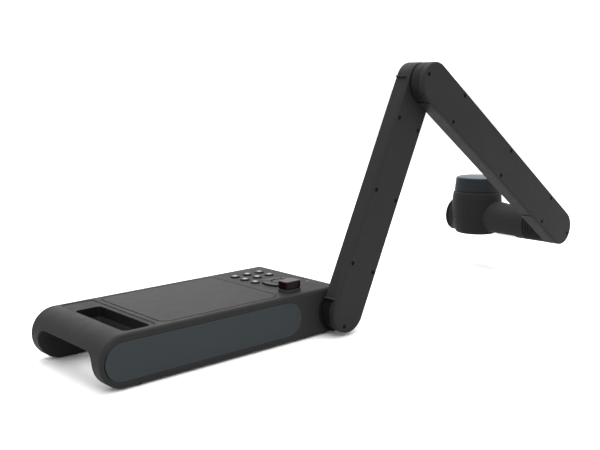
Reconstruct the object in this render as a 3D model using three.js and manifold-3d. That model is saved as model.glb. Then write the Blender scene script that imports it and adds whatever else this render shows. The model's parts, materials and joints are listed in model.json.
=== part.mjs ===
// Desktop document camera with a folding arm. Millimetres, +Z up.
// The long base lies along X: its carrying handle is at the low X end, its arm hinge at the high X end.
// The two arms stand beside the base, on its low Y side, and turn about axes along Y.
// The origin is the middle of the footprint box, on the surface that the feet stand on.
import * as THREE from "three";
import { mergeVertices } from "three/addons/utils/BufferGeometryUtils.js";
import Module from "manifold-3d";

const wasm = await Module();
wasm.setup();

// ---------------------------------------------------------------- driving dimensions
const GAP = 0.3; // assembly gap between neighbouring pieces
const WALL = 3.2; // moulded wall of the base

// Base: a flat bar with two half-round ends, standing on four feet.
const FOOT_LIFT = 1.5;
const BASE_HEIGHT = 55;
const BASE_WIDTH = 149;
const HINGE_X = 314.7; // the arm hinge, on the axis of the base's round end
const BASE_FILLET = 3.5;
const NOSE_RADIUS = BASE_HEIGHT / 2;
const BASE_BOTTOM = FOOT_LIFT;
const BASE_TOP = FOOT_LIFT + BASE_HEIGHT;
const HINGE_Z = FOOT_LIFT + NOSE_RADIUS;
const BASE_FAR_Y = BASE_WIDTH / 2;
const BASE_NEAR_Y = -BASE_WIDTH / 2;

// Carrying handle: an arch under the nose and a finger slot behind the bar.
const ARCH_HALF_WIDTH = 57;
const ARCH_TOP = BASE_BOTTOM + 37;
const ARCH_CORNER = 13;
const ARCH_END_X = 88;
const SLOT = { x0: 33.5, x1: 64, y0: -63.5, y1: 37, corner: 5 };
const SLOT_INSERT = { x0: 31.5, x1: 70.5, halfY: 66.2, corner: 7, height: 12, sink: 0.6 };
const SLOT_INSERT_BOTTOM = BASE_TOP - SLOT_INSERT.height;

// Space for the works inside the base, closed by the bottom cover.
const CAVITY = { x0: 92, x1: 290, halfY: BASE_FAR_Y - WALL, top: BASE_TOP - WALL };
const KEY_BAY = { x1: 304, y0: -46, y1: 58, bottom: BASE_TOP - 11 }; // shallow pocket beyond the cavity

// Smooth control plate on top, and the side inlays.
const PLATE = { x0: 77, x1: 236, halfY: 65.5, corner: 12, depth: 1.3, groove: 1.1 };
const INLAY = { x0: 25, x1: 240, radius: 20, depth: 1.2 };

// Keys: a block of round keys and a four-way ring with a middle key.
const KEY_RADIUS = 5.75;
const KEY_RISE = 2;
const KEY_PITCH = 19.6;
const KEY_FIRST = { x: 256.2, y: 43.2 };
const KEY_COLUMNS_IN_ROW = [3, 3, 1];
const KEY_CLEARANCE = 0.35;
const KEY_BOTTOM = BASE_TOP - WALL - 2.7;
const RING_CENTRE = { x: 279, y: -16.5 };
const RING_OUTER = 21.8;
const RING_INNER = 11.4;
const RING_SPLIT = 0.5; // half of the gap between two ring keys
const RING_MIDDLE_RADIUS = 10.6;

// Remote-control window block and status light.
const WINDOW = { x0: 248.5, x1: 272, y0: -62, y1: -44.8, corner: 3.5, seat: 3, height: 12.4 };
const STATUS_LIGHT = { x: 307.8, y: -33.9, radius: 1.5 };

// Pieces inside and under the base.
const BOTTOM_COVER_THICKNESS = 2.4;
const BALLAST = { x0: 98, x1: 262, y0: -64, y1: 60, z0: BASE_BOTTOM + 2.7, z1: BASE_BOTTOM + 14.7 };
const BOARD_THICKNESS = 1.6;
const MAIN_BOARD = { x0: 104, x1: 246, y0: -50, y1: 56, z0: 20 };
const KEY_BOARD = { x0: 247, x1: 302, y0: -44, y1: 54, z0: KEY_BOTTOM - 3 };
const FOOT = { radius: 6, faceRadius: 5.2, edge: 0.8, height: 2.6, pocket: 1.4 };
const FOOT_PLACES = [
  { x: 45, y: -64.5 },
  { x: 45, y: 64.5 },
  { x: 303, y: -60 },
  { x: 303, y: 60 },
];

// Sockets in the far side.
const SOCKET_Z = HINGE_Z;
const SOCKET_WALL = 1.5;
const SOCKET_DEPTH = 11;
const FLAT_SOCKETS = [
  { name: "video_socket_1", x: 150, width: 15.4, height: 5.8 },
  { name: "video_socket_2", x: 178, width: 15.4, height: 5.8 },
  { name: "data_socket", x: 206, width: 13.4, height: 6.4 },
];
const POWER_INLET = { x: 120, radius: 3.2, pin: 0.9, outer: 5.2, sides: 16 };

// Arms.
const LEAN = THREE.MathUtils.degToRad(25.2); // lower arm from upright, towards +X
const ELBOW = THREE.MathUtils.degToRad(99.3); // turn from the lower arm to the upper arm
const LOWER_LENGTH = 294.8; // hinge axis to elbow axis
const UPPER_LENGTH = 377.3; // elbow axis to neck axis
const ARM_RADIUS = 25.2; // half the arms' width, and their end radius
const COVER = 3.4; // thickness of an arm's outer cover
const COVER_EDGE = 2.2; // rounding of the cover's rim
const ARM_WALL = 2.4;
const LOWER_INNER_Y = BASE_NEAR_Y - 2.6;
const LOWER_OUTER_Y = LOWER_INNER_Y - 20.9;
const UPPER_INNER_Y = LOWER_OUTER_Y - 0.4;
const UPPER_OUTER_Y = UPPER_INNER_Y - 22.3;
const LEDGE = 6.5; // where the arm's body stops above the hinge drum
const LOWER_SEAM = 289.6; // along the lower arm: its elbow housing starts here
const UPPER_SEAM = 294.5; // along the upper arm: its end piece starts here
const SEAM_SLOT = { depth: 3, before: 1, after: 1.4 }; // cut across the upper arm's lower edge
const LIP = { depth: 3.2, thickness: 1.8, inset: 1 }; // at the start of an arm piece, on its back edge
const SPINE = { width: 24, thickness: 2.4 };
const SPINE_TAIL = 14; // the spine's way runs on this far past a far axis
const SKIRT_WALL = 2.7; // rim of a cover that closes the gap to the drum
const HINGE_DRUM_RADIUS = 24.4;
const ELBOW_DRUM_RADIUS = 25;
const DRUM_GROOVE = { width: 2.6, radius: 20.5 };
const COLLAR_RADIUS = 27;
const BOSS_ROD_RADIUS = 9; // round a far axis, inside the arm
const SHAFT_RADIUS = 5;
const WASHER = { radius: 12, thickness: 1.2 };
const SCREW_HOLE_RADIUS = 2.7;
const SCREW_FLOOR = 0.6; // cover left under a screw hole
const SCREW_EDGE = 19.3; // screw rows from the arm's centre line
const LOWER_SCREWS = screwPlaces(-18, [55, 147.4, 240], []);
const UPPER_SCREWS = screwPlaces(-18, [56.4, 188.6, 320.9], [UPPER_LENGTH + 18]);

// Neck: a turned sleeve along Y, from the upper arm's end to the camera head, whose drum it is cut to fit.
const NECK = { ribs0: -97.9, ribs1: -65.2, radius: 25, split: 1.3, wall: 3, end: 12 };
const NECK_PROFILE = [
  [25, -65.2],
  [25, -42],
  [25.2, -27],
  [25.5, -15],
  [25.9, -4],
  [26, 4],
  [26, 12],
];
const NECK_LIFT = { start: -42, end: 4, height: 3 }; // the neck's centre rises a little towards the head
const RIBS = { count: 6, pitch: 4.3, depth: 1.8, halfWidth: 0.9, first: -68.4 };
const LAMP = { y0: -45, y1: -10, halfWidth: 11, flat: -20.4, hang: 4.2, corner: 4, edge: 1.2, floor: 2.6 };

// Camera head: an upright drum. Heights are measured from the neck's axis; profiles are [radius, height].
const HEAD_Y = 33.8;
const HEAD = { radius: 39.6, bottom: -25.6, split: 2, top: 43.1, wall: 3 };
const HEAD_PROFILE = [
  [31, -25.6],
  [32.2, -25],
  [34, -21.8],
  [36.4, -15.8],
  [38.2, -8],
  [39.2, 1],
  [39.6, 10],
  [39.6, 18],
  [39.4, 28],
  [38.9, 33.2],
  [38.5, 33.5],
  [38.85, 33.8],
  [38.5, 36.7],
  [38.1, 37],
  [38.4, 37.3],
  [38, 39.7],
  [36.6, 41.2],
  [35.6, 41.2],
  [35.6, 43.1],
];
const HEAD_ROOM = [
  [30.5, -22.6],
  [35.5, -8],
  [36, 20],
  [35, 38],
  [32.5, 41],
  [32.5, 44],
];
const CAP_PROFILE = [
  [36.3, 43.4],
  [34.5, 62],
  [34, 63.3],
  [33, 64.3],
  [31, 65.1],
  [24, 66.2],
  [12, 67],
  [0, 67.3],
];
const CAP_ROOM = { radius: 31.4, top: 61.5 };
const BOSS = { radius: 25.4, far: 71.6 };
const PIVOT_COVER = { radius: 26, thickness: 5, edge: 1.6, dome: 0.3 };
const PIVOT_COVER_Y = BOSS.far + GAP;
const LENS = { hole: 20.5, outer: 20, inner: 14.5, glass: 14.1, inset: 0.6, length: 16, glassInset: 3.4 };
const SENSOR_BOARD = { half: 20, above: 18 }; // above the head's bottom

// ---------------------------------------------------------------- materials
const plastic = (color, roughness = 0.5) => ({ color, roughness, metalness: 0 });
const LOOK = {
  body: plastic(0x3a3a3b, 0.55),
  plate: plastic(0x464647, 0.4),
  arm: plastic(0x3b3b3c, 0.5),
  dark: plastic(0x1a1a1b, 0.6),
  inlay: plastic(0x3f464c, 0.45),
  key: plastic(0xa8a8aa, 0.35),
  window: plastic(0x1d0609, 0.12),
  seat: plastic(0x77777a, 0.5),
  light: plastic(0x9fd6a8, 0.3),
  lamp: plastic(0xeeeeea, 0.4),
  rubber: plastic(0x131313, 0.9),
  board: plastic(0x1d5b34, 0.6),
  glass: plastic(0x10141c, 0.05),
  steel: { color: 0x9a9c9f, roughness: 0.35, metalness: 1 },
};

// ---------------------------------------------------------------- solids
// A closed geometry as a manifold solid.
function solidOf(geometry) {
  const bare = geometry.index ? geometry.toNonIndexed() : geometry.clone();
  bare.deleteAttribute("normal");
  bare.deleteAttribute("uv");
  const merged = mergeVertices(bare, 1e-3);
  const triVerts = new Uint32Array(merged.index.array);
  return new wasm.Manifold(
    new wasm.Mesh({ numProp: 3, vertProperties: merged.attributes.position.array, triVerts }),
  );
}

// A manifold solid as a geometry with flat faces.
function geometryOf(solid) {
  const mesh = solid.getMesh();
  const geometry = new THREE.BufferGeometry();
  geometry.setAttribute("position", new THREE.BufferAttribute(new Float32Array(mesh.vertProperties), 3));
  geometry.setIndex(new THREE.BufferAttribute(new Uint32Array(mesh.triVerts), 1));
  const flat = geometry.toNonIndexed();
  flat.computeVertexNormals();
  return flat;
}

function cut(geometry, ...tools) {
  return geometryOf(tools.reduce((left, tool) => left.subtract(solidOf(tool)), solidOf(geometry)));
}

function join(geometry, ...others) {
  return geometryOf(others.reduce((whole, other) => whole.add(solidOf(other)), solidOf(geometry)));
}

function keepInside(geometry, limit) {
  return geometryOf(solidOf(geometry).intersect(solidOf(limit)));
}

function box(x0, x1, y0, y1, z0, z1) {
  const geometry = new THREE.BoxGeometry(x1 - x0, y1 - y0, z1 - z0);
  return geometry.translate((x0 + x1) / 2, (y0 + y1) / 2, (z0 + z1) / 2);
}

// A cylinder along Y, or along Z.
function rodY(radius, x, z, y0, y1, sides = 40) {
  return new THREE.CylinderGeometry(radius, radius, y1 - y0, sides).translate(x, (y0 + y1) / 2, z);
}

function rodZ(radius, x, y, z0, z1, sides = 40) {
  const rod = new THREE.CylinderGeometry(radius, radius, z1 - z0, sides).rotateX(Math.PI / 2);
  return rod.translate(x, y, (z0 + z1) / 2);
}

// A turned piece about Z through (x, y): the profile is a list of [radius, height].
function turnedZ(profile, x, y, sides = 40) {
  const points = profile.map(([radius, height]) => new THREE.Vector2(radius, height));
  return new THREE.LatheGeometry(points, sides).rotateX(Math.PI / 2).translate(x, y, 0);
}

// A turned piece about Y through (0, 0): the profile is a list of [radius, y], in rising y.
function turnedY(profile, sides = 40) {
  const points = profile.map(([radius, y]) => new THREE.Vector2(radius, y));
  return new THREE.LatheGeometry(points, sides);
}

// An outline in X and Z, extruded along Y, with its rim rounded by edge.
function extrudeY(shape, y0, y1, edge = 0, curveSegments = 12, bevelSegments = 2) {
  const geometry = new THREE.ExtrudeGeometry(shape, {
    depth: y1 - y0 - 2 * edge,
    curveSegments,
    bevelEnabled: edge > 0,
    bevelThickness: edge,
    bevelSize: edge,
    bevelOffset: -edge,
    bevelSegments,
  });
  return geometry.rotateX(Math.PI / 2).translate(0, y1 - edge, 0);
}

// An outline in X and Y, extruded along Z.
function extrudeZ(shape, z0, z1, edge = 0, curveSegments = 3) {
  const geometry = new THREE.ExtrudeGeometry(shape, {
    depth: z1 - z0 - 2 * edge,
    curveSegments,
    bevelEnabled: edge > 0,
    bevelThickness: edge,
    bevelSize: edge,
    bevelOffset: -edge,
    bevelSegments: 2,
  });
  return geometry.translate(0, 0, z0 + edge);
}

// ---------------------------------------------------------------- outlines
// A bar with round ends, lying along X at height z.
function barOutline(x0, x1, z, radius) {
  const shape = new THREE.Shape();
  shape.absarc(x1, z, radius, -Math.PI / 2, Math.PI / 2, false);
  shape.absarc(x0, z, radius, Math.PI / 2, Math.PI * 1.5, false);
  shape.closePath();
  return shape;
}

function roundedRectangle(x0, x1, y0, y1, radius) {
  const shape = new THREE.Shape();
  shape.absarc(x1 - radius, y0 + radius, radius, -Math.PI / 2, 0, false);
  shape.absarc(x1 - radius, y1 - radius, radius, 0, Math.PI / 2, false);
  shape.absarc(x0 + radius, y1 - radius, radius, Math.PI / 2, Math.PI, false);
  shape.absarc(x0 + radius, y0 + radius, radius, Math.PI, Math.PI * 1.5, false);
  shape.closePath();
  return shape;
}

// An arm's full outline: upright, centre line from (0, 0) to (0, length).
function armOutline(length, radius) {
  const shape = new THREE.Shape();
  shape.absarc(0, 0, radius, Math.PI, Math.PI * 2, false);
  shape.absarc(0, length, radius, 0, Math.PI, false);
  shape.closePath();
  return shape;
}

// An arm's body: straight sides, hollowed at the foot to clear the drum, flat at the seam.
function armBodyOutline(seam, clearRadius) {
  const halfWidth = Math.sqrt(clearRadius ** 2 - LEDGE ** 2);
  const angle = Math.asin(LEDGE / clearRadius);
  const shape = new THREE.Shape();
  shape.moveTo(halfWidth, LEDGE);
  shape.lineTo(ARM_RADIUS, LEDGE);
  shape.lineTo(ARM_RADIUS, seam);
  shape.lineTo(-ARM_RADIUS, seam);
  shape.lineTo(-ARM_RADIUS, LEDGE);
  shape.lineTo(-halfWidth, LEDGE);
  shape.absarc(0, 0, clearRadius, Math.PI - angle, angle, true);
  shape.closePath();
  return shape;
}

// An arm's round end, from the seam to past the axis at length.
function armEndOutline(seam, length, radius) {
  const shape = new THREE.Shape();
  shape.moveTo(-radius, seam);
  shape.lineTo(radius, seam);
  shape.absarc(0, length, radius, 0, Math.PI, false);
  shape.closePath();
  return shape;
}

// Where the pieces beside an arm's inner side of the cover start, from the cover's outer face at y0.
function spineStart(y0) {
  return y0 + COVER + 2 * GAP;
}

function washerStart(y0) {
  return spineStart(y0) + SPINE.thickness + GAP;
}

function drumStart(y0) {
  return washerStart(y0) + WASHER.thickness + GAP;
}

// Screw places on an arm: one near the hinge, pairs along both edges, and any near the far end.
function screwPlaces(first, pairs, last) {
  const places = [[0, first]];
  for (const along of pairs) {
    places.push([-SCREW_EDGE, along], [SCREW_EDGE, along]);
  }
  for (const along of last) {
    places.push([0, along]);
  }
  return places;
}

// ---------------------------------------------------------------- base
function keyCentres() {
  const centres = [];
  KEY_COLUMNS_IN_ROW.forEach((columns, row) => {
    for (let column = 0; column < columns; column += 1) {
      centres.push({ x: KEY_FIRST.x + column * KEY_PITCH, y: KEY_FIRST.y - row * KEY_PITCH });
    }
  });
  return centres;
}

// The finger slot's hole, from z0 to z1.
function slotHole(z0, z1) {
  return extrudeZ(roundedRectangle(SLOT.x0, SLOT.x1, SLOT.y0, SLOT.y1, SLOT.corner), z0, z1);
}

// The hand space under the nose: open at the front and below.
function archSpace() {
  const shape = new THREE.Shape();
  shape.moveTo(-ARCH_HALF_WIDTH, -1);
  shape.lineTo(ARCH_HALF_WIDTH, -1);
  const cornerX = ARCH_HALF_WIDTH - ARCH_CORNER;
  const cornerY = ARCH_TOP - ARCH_CORNER;
  shape.absarc(cornerX, cornerY, ARCH_CORNER, 0, Math.PI / 2, false);
  shape.absarc(-cornerX, cornerY, ARCH_CORNER, Math.PI / 2, Math.PI, false);
  shape.closePath();
  const depth = ARCH_END_X + 1;
  const geometry = new THREE.ExtrudeGeometry(shape, { depth, bevelEnabled: false, curveSegments: 4 });
  // The outline's X becomes Y, its Y becomes Z, and the extrusion runs along X.
  const turn = new THREE.Matrix4().makeBasis(
    new THREE.Vector3(0, 1, 0),
    new THREE.Vector3(0, 0, 1),
    new THREE.Vector3(1, 0, 0),
  );
  return geometry.applyMatrix4(turn).translate(-1, 0, 0);
}

function baseShell() {
  const outer = extrudeY(
    barOutline(NOSE_RADIUS, HINGE_X, HINGE_Z, NOSE_RADIUS),
    BASE_NEAR_Y,
    BASE_FAR_Y,
    BASE_FILLET,
    16,
  );
  const top = BASE_TOP + 1;
  const insert = SLOT_INSERT;
  const lozenge = barOutline(INLAY.x0, INLAY.x1, HINGE_Z, INLAY.radius);
  const tools = [
    archSpace(),
    box(CAVITY.x0, CAVITY.x1, -CAVITY.halfY, CAVITY.halfY, BASE_BOTTOM - 1, CAVITY.top),
    box(CAVITY.x1 - 1, KEY_BAY.x1, KEY_BAY.y0, KEY_BAY.y1, KEY_BAY.bottom, CAVITY.top),
    extrudeZ(
      roundedRectangle(insert.x0, insert.x1, -insert.halfY, insert.halfY, insert.corner),
      SLOT_INSERT_BOTTOM,
      top,
    ),
    slotHole(ARCH_TOP - 2, SLOT_INSERT_BOTTOM + 1),
    extrudeZ(
      roundedRectangle(PLATE.x0, PLATE.x1, -PLATE.halfY, PLATE.halfY, PLATE.corner),
      BASE_TOP - PLATE.depth,
      top,
    ),
    extrudeY(lozenge, BASE_NEAR_Y - 1, BASE_NEAR_Y + INLAY.depth),
    extrudeY(lozenge, BASE_FAR_Y - INLAY.depth, BASE_FAR_Y + 1),
    rodZ(RING_OUTER + KEY_CLEARANCE, RING_CENTRE.x, RING_CENTRE.y, CAVITY.top - 1, top, 48),
    rodZ(STATUS_LIGHT.radius + GAP, STATUS_LIGHT.x, STATUS_LIGHT.y, BASE_TOP - 3, top, 16),
    rodY(SHAFT_RADIUS + GAP, HINGE_X, HINGE_Z, BASE_NEAR_Y - 1, BASE_NEAR_Y + 44, 32),
    rodY(POWER_INLET.outer + GAP, POWER_INLET.x, SOCKET_Z, CAVITY.halfY - 1, BASE_FAR_Y, POWER_INLET.sides),
  ];
  for (const centre of keyCentres()) {
    tools.push(rodZ(KEY_RADIUS + KEY_CLEARANCE, centre.x, centre.y, CAVITY.top - 1, top, 24));
  }
  for (const socket of FLAT_SOCKETS) {
    tools.push(socketBlock(socket, GAP, CAVITY.halfY - 1, BASE_FAR_Y));
  }
  for (const place of FOOT_PLACES) {
    tools.push(rodZ(FOOT.radius + GAP, place.x, place.y, BASE_BOTTOM - 1, BASE_BOTTOM + FOOT.pocket, 16));
  }
  return cut(outer, ...tools);
}

// A flat socket's outside, grown by extra, from y0 to y1.
function socketBlock(socket, extra, y0, y1) {
  const halfWidth = socket.width / 2 + SOCKET_WALL + extra;
  const halfHeight = socket.height / 2 + SOCKET_WALL + extra;
  return box(
    socket.x - halfWidth,
    socket.x + halfWidth,
    y0,
    y1,
    SOCKET_Z - halfHeight,
    SOCKET_Z + halfHeight,
  );
}

function flatSocket(socket) {
  const mouth = BASE_FAR_Y - GAP;
  const block = socketBlock(socket, 0, mouth - SOCKET_DEPTH - SOCKET_WALL, mouth);
  const hole = box(
    socket.x - socket.width / 2,
    socket.x + socket.width / 2,
    mouth - SOCKET_DEPTH,
    mouth + 1,
    SOCKET_Z - socket.height / 2,
    SOCKET_Z + socket.height / 2,
  );
  return cut(block, hole);
}

function powerInlet() {
  const mouth = BASE_FAR_Y - GAP;
  const inlet = POWER_INLET;
  const back = mouth - SOCKET_DEPTH;
  const body = rodY(inlet.outer, inlet.x, SOCKET_Z, back - SOCKET_WALL, mouth, inlet.sides);
  const hole = rodY(inlet.radius, inlet.x, SOCKET_Z, back, mouth + 1, inlet.sides);
  const pin = rodY(inlet.pin, inlet.x, SOCKET_Z, back - 1, mouth - 2, 8);
  return join(cut(body, hole), pin);
}

function handleInsert() {
  const outer = roundedRectangle(
    SLOT_INSERT.x0 + GAP,
    SLOT_INSERT.x1 - GAP,
    GAP - SLOT_INSERT.halfY,
    SLOT_INSERT.halfY - GAP,
    SLOT_INSERT.corner,
  );
  const block = extrudeZ(outer, SLOT_INSERT_BOTTOM + GAP, BASE_TOP - SLOT_INSERT.sink);
  return cut(block, slotHole(SLOT_INSERT_BOTTOM - 1, BASE_TOP + 1));
}

function controlPlate() {
  const inset = PLATE.groove;
  const outline = roundedRectangle(
    PLATE.x0 + inset,
    PLATE.x1 - inset,
    inset - PLATE.halfY,
    PLATE.halfY - inset,
    PLATE.corner - inset,
  );
  return extrudeZ(outline, BASE_TOP - PLATE.depth + GAP, BASE_TOP - 0.05);
}

function sideInlay(y0, y1) {
  return extrudeY(barOutline(INLAY.x0, INLAY.x1, HINGE_Z, INLAY.radius - GAP), y0, y1);
}

function portInlay() {
  const y0 = BASE_FAR_Y - INLAY.depth + GAP;
  const holes = FLAT_SOCKETS.map((socket) => socketBlock(socket, GAP, y0 - 1, BASE_FAR_Y + 1));
  const inlet = POWER_INLET;
  holes.push(rodY(inlet.outer + GAP, inlet.x, SOCKET_Z, y0 - 1, BASE_FAR_Y + 1, inlet.sides));
  return cut(sideInlay(y0, BASE_FAR_Y), ...holes);
}

function bottomCover() {
  return box(
    CAVITY.x0 + GAP,
    CAVITY.x1 - GAP,
    GAP - CAVITY.halfY,
    CAVITY.halfY - GAP,
    BASE_BOTTOM,
    BASE_BOTTOM + BOTTOM_COVER_THICKNESS,
  );
}

function ballastPlate() {
  const b = BALLAST;
  return box(b.x0, b.x1, b.y0, b.y1, b.z0, b.z1);
}

function board(place) {
  return box(place.x0, place.x1, place.y0, place.y1, place.z0, place.z0 + BOARD_THICKNESS);
}

function roundKey(centre) {
  const top = BASE_TOP + KEY_RISE;
  const profile = [
    [0, KEY_BOTTOM],
    [KEY_RADIUS + 1, KEY_BOTTOM],
    [KEY_RADIUS + 1, KEY_BOTTOM + 1.8],
    [KEY_RADIUS, KEY_BOTTOM + 1.8],
    [KEY_RADIUS, top - 1.5],
    [KEY_RADIUS * 0.86, top - 0.65],
    [KEY_RADIUS * 0.5, top - 0.13],
    [0, top],
  ];
  return turnedZ(profile, centre.x, centre.y, 20);
}

// One key of the four-way ring, between two diagonals, pointing along angle.
function ringKey(angle) {
  const outerSpread = Math.PI / 4 - Math.asin(RING_SPLIT / RING_OUTER);
  const innerSpread = Math.PI / 4 - Math.asin(RING_SPLIT / RING_INNER);
  const shape = new THREE.Shape();
  shape.absarc(0, 0, RING_OUTER, angle - outerSpread, angle + outerSpread, false);
  shape.absarc(0, 0, RING_INNER, angle + innerSpread, angle - innerSpread, true);
  shape.closePath();
  return extrudeZ(shape, KEY_BOTTOM, BASE_TOP + KEY_RISE, 0.8, 4).translate(RING_CENTRE.x, RING_CENTRE.y, 0);
}

function ringMiddleKey() {
  const top = BASE_TOP + KEY_RISE;
  const profile = [
    [0, KEY_BOTTOM],
    [RING_MIDDLE_RADIUS, KEY_BOTTOM],
    [RING_MIDDLE_RADIUS, top - 0.9],
    [RING_MIDDLE_RADIUS - 1.2, top - 0.1],
    [0, top - 0.5],
  ];
  return turnedZ(profile, RING_CENTRE.x, RING_CENTRE.y, 32);
}

function windowBlock(z0, z1, inset, edge) {
  const w = WINDOW;
  const outline = roundedRectangle(w.x0 + inset, w.x1 - inset, w.y0 + inset, w.y1 - inset, w.corner - inset);
  return extrudeZ(outline, z0, z1, edge);
}

function foot(place) {
  const f = FOOT;
  const profile = [
    [0, 0],
    [f.faceRadius, 0],
    [f.radius, f.edge],
    [f.radius, f.height],
    [0, f.height],
  ];
  return turnedZ(profile, place.x, place.y, 16);
}

// ---------------------------------------------------------------- arms, in their own upright frames
function screwTools(places, y0, y1) {
  return places.map(([across, along]) => rodY(SCREW_HOLE_RADIUS, across, along, y0, y1, 12));
}

// A cover's rim round its near axis: it closes the gap that the spine and the washer leave beside the drum.
function coverSkirt(y0) {
  const start = y0 + COVER - 0.5;
  const end = drumStart(y0) - GAP;
  const reach = 2 * ARM_RADIUS;
  const outer = rodY(ARM_RADIUS, 0, 0, start, end, 48);
  const hole = rodY(ARM_RADIUS - SKIRT_WALL, 0, 0, start - 1, end + 1, 48);
  return keepInside(cut(outer, hole), box(-reach, reach, start, end, -reach, LEDGE - GAP));
}

// The broad outer cover, with its screw holes; a shaft passes it where one is given.
function outerCover(length, y0, screws, shaftAlong) {
  const outline = armOutline(length, ARM_RADIUS);
  const plate = extrudeY(outline, y0, y0 + COVER + COVER_EDGE, COVER_EDGE, 12, 3);
  const reach = 2 * ARM_RADIUS;
  const limit = box(-reach, reach, y0 - 1, y0 + COVER, -reach, length + reach);
  const cover = join(keepInside(plate, limit), coverSkirt(y0));
  const tools = screwTools(screws, y0 - 1, y0 + COVER - SCREW_FLOOR);
  for (const along of shaftAlong) {
    tools.push(rodY(SHAFT_RADIUS + GAP, 0, along, y0 - 1, y0 + COVER + 1, 32));
  }
  return cut(cover, ...tools);
}

// The way for the spine through an arm's body, from z0 to z1 along the arm.
function spineWay(y0, z0, z1) {
  const half = SPINE.width / 2 + 1;
  return box(-half, half, y0 - 1, y0 + SPINE.thickness + 1, z0, z1);
}

// The body under the cover: a trough open towards the cover, from the drum to the seam.
function armBody(seam, drumRadius, y0, y1) {
  const body = extrudeY(armBodyOutline(seam, drumRadius + 0.5), y0, y1, 0, 12);
  const half = ARM_RADIUS - ARM_WALL;
  const pocket = box(-half, half, y0 - 1, y1 - ARM_WALL, ARM_RADIUS + 4, seam - ARM_WALL);
  return cut(body, pocket, spineWay(y0, 0, seam + 1));
}

// The housing round an arm's far axis, with a boss for the shaft.
function armEnd(seam, length, y0, y1) {
  const outline = armEndOutline(seam + GAP, length, ARM_RADIUS);
  const body = extrudeY(outline, y0, y1, 0, 12);
  const pocketOutline = armEndOutline(seam + GAP + ARM_WALL, length, ARM_RADIUS - ARM_WALL);
  const pocket = extrudeY(pocketOutline, y0 - 1, y1 - ARM_WALL, 0, 12);
  const bossRod = rodY(BOSS_ROD_RADIUS, 0, length, y0 + SPINE.thickness + 1, y1 - 1, 32);
  const boss = keepInside(bossRod, box(-20, 20, y0, y1, seam + GAP, length + 20));
  const shaftWay = rodY(SHAFT_RADIUS + GAP, 0, length, y0 - 1, y1 + 1, 20);
  return cut(join(cut(body, pocket), boss), spineWay(y0, seam - 1, length + SPINE_TAIL), shaftWay);
}

// A lip on an arm piece's back edge, starting at along.
function backLip(y0, y1, along) {
  return box(
    -ARM_RADIUS - LIP.depth,
    -ARM_RADIUS + 1,
    y0 + LIP.inset,
    y1 - LIP.inset,
    along,
    along + LIP.thickness,
  );
}

// The slot across the upper arm's lower edge, at the seam of its end piece.
function seamSlot(y0, y1) {
  return box(
    ARM_RADIUS - SEAM_SLOT.depth,
    ARM_RADIUS + 1,
    y0 - 1,
    y1 + 1,
    UPPER_SEAM - SEAM_SLOT.before,
    UPPER_SEAM + SEAM_SLOT.after,
  );
}

function armSpine(length, y0) {
  const y1 = y0 + SPINE.thickness;
  const bar = extrudeY(armOutline(length, SPINE.width / 2), y0, y1, 0, 6);
  const eyes = [0, length].map((along) => rodY(SHAFT_RADIUS + GAP, 0, along, y0 - 1, y1 + 1, 20));
  return cut(bar, ...eyes);
}

// A turning joint's drum, washer and shaft: they stay with the piece that carries them.
function ring(outer, y0, y1, sides) {
  return cut(rodY(outer, 0, 0, y0, y1, sides), rodY(SHAFT_RADIUS + GAP, 0, 0, y0 - 1, y1 + 1, 20));
}

// The elbow's drum, with a groove beside the lower arm, at y1.
function elbowDrum(y0, y1) {
  const profile = [
    [0, y0],
    [ELBOW_DRUM_RADIUS, y0],
    [ELBOW_DRUM_RADIUS, y1 - DRUM_GROOVE.width],
    [DRUM_GROOVE.radius, y1 - DRUM_GROOVE.width],
    [DRUM_GROOVE.radius, y1],
    [0, y1],
  ];
  return cut(turnedY(profile, 48), rodY(SHAFT_RADIUS + GAP, 0, 0, y0 - 1, y1 + 1, 20));
}

// ---------------------------------------------------------------- neck
function neckRibs() {
  const profile = [
    [0, NECK.ribs0],
    [NECK.radius, NECK.ribs0],
  ];
  for (let rib = RIBS.count; rib >= 0; rib -= 1) {
    const y = RIBS.first - rib * RIBS.pitch;
    profile.push([NECK.radius, y - RIBS.halfWidth], [NECK.radius - RIBS.depth, y]);
    profile.push([NECK.radius, y + RIBS.halfWidth]);
  }
  profile.push([NECK.radius, NECK.ribs1 - GAP], [0, NECK.ribs1 - GAP]);
  const sleeve = turnedY(profile, 32);
  return cut(sleeve, rodY(SHAFT_RADIUS + GAP, 0, 0, NECK.ribs0 - 1, NECK.ribs1 + 1, 32));
}

// The head's outside without its flat, grown by extra all round.
function headSkin(extra) {
  const profile = HEAD_PROFILE.map(([radius, height]) => [radius + extra, height]);
  const bottom = HEAD.bottom - extra;
  const top = HEAD.top + extra;
  const ends = { low: profile[0][0], high: profile[profile.length - 1][0] };
  return turnedZ([[0, bottom], [ends.low, bottom], ...profile, [ends.high, top], [0, top]], 0, HEAD_Y, 56);
}

function liftTowardsHead(geometry) {
  const points = geometry.attributes.position;
  for (let index = 0; index < points.count; index += 1) {
    const part = THREE.MathUtils.smoothstep(points.getY(index), NECK_LIFT.start, NECK_LIFT.end);
    points.setZ(index, points.getZ(index) + NECK_LIFT.height * part);
  }
}

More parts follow.
